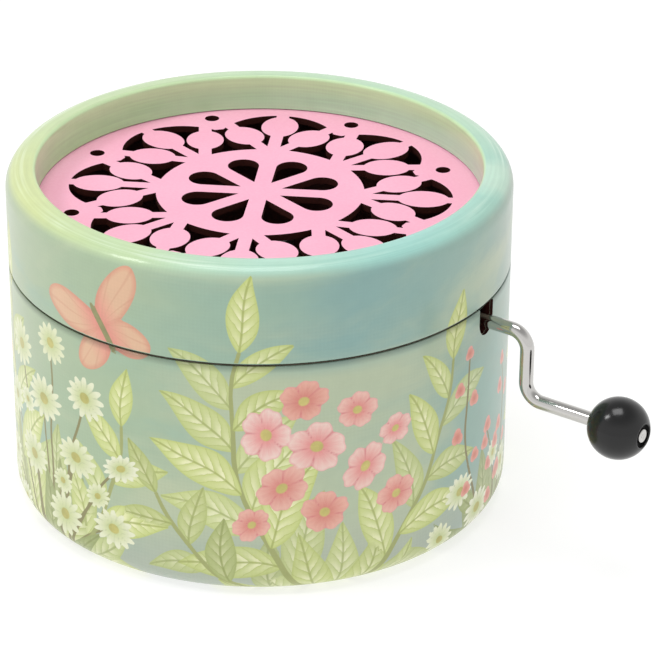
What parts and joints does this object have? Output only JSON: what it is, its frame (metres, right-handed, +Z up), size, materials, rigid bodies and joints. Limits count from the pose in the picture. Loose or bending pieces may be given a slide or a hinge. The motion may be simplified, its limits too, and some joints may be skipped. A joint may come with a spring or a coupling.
{
  "type": "hand-cranked music box",
  "caption": "Round board music box with a pull-off lid, a pierced grille in its top, and a bent wire crank with a ball knob that turns a pinned cylinder past a steel comb.",
  "frame": {"origin": "centre of the underside of the drum, on its axis", "axes": "+Z up along the drum's axis, +X outward along the crank shaft, which lies 4.8 mm towards +Y of the drum's axis"},
  "size_m": [0.0976, 0.072, 0.05],
  "materials": {
    "printed_paper": "semi-gloss printed and varnished paper",
    "pink_card": "smooth pink-faced card, its cut edges scorched dark brown",
    "grey_board": "raw wound grey board",
    "fibre_board": "raw fibre board",
    "cast_zinc": "bright die casting",
    "chrome": "bright plated wire",
    "steel": "ground steel",
    "brass": "turned brass",
    "black_plastic": "glossy moulded plastic",
    "white_plastic": "moulded plastic"
  },
  "bodies": {
    "case": {"base_wrap": "printed_paper", "bottom_paper": "printed_paper", "base_tube": "grey_board", "base_disc": "grey_board", "neck_tube": "grey_board", "spacer_tube": "grey_board", "soundboard": "fibre_board", "bedplate": "cast_zinc", "comb": "steel", "comb_screw_1": "steel", "comb_screw_2": "steel", "mounting_screw_1": "steel", "mounting_screw_2": "steel", "mounting_screw_3": "steel"},
    "lid": {"lid_wrap": "printed_paper", "lid_tube": "grey_board", "lid_collar": "grey_board", "grille": "pink_card"},
    "crank": {"crank_wire": "chrome", "worm_shaft": "brass", "retaining_clip": "steel"},
    "cylinder": {"cylinder_barrel": "brass", "cylinder_cap_near": "white_plastic", "cylinder_cap_far": "white_plastic", "cylinder_arbor": "steel", "cylinder_gear": "white_plastic"},
    "knob": {"knob": "black_plastic"}
  },
  "joints": [
    {"name": "crank_spin", "type": "hinge", "parent": "case", "child": "crank", "pos_m": [0.03, 0.0048, 0.0333], "axis": [1, 0, 0], "continuous": true},
    {"name": "cylinder_spin", "type": "hinge", "parent": "case", "child": "cylinder", "pos_m": [0.009, 0, 0.0237], "axis": [0, 1, 0], "continuous": true},
    {"name": "knob_spin", "type": "hinge", "parent": "crank", "child": "knob", "pos_m": [0.05755, 0.0048, 0.0233], "axis": [1, 0, 0], "continuous": true},
    {"name": "lid_lift", "type": "slide", "parent": "case", "child": "lid", "axis": [0, 0, 1], "range_m": [0, 0.04]}
  ],
  "couplings": [
    {"joint": "cylinder_spin", "follows": "crank_spin", "ratio": -0.041667}
  ]
}
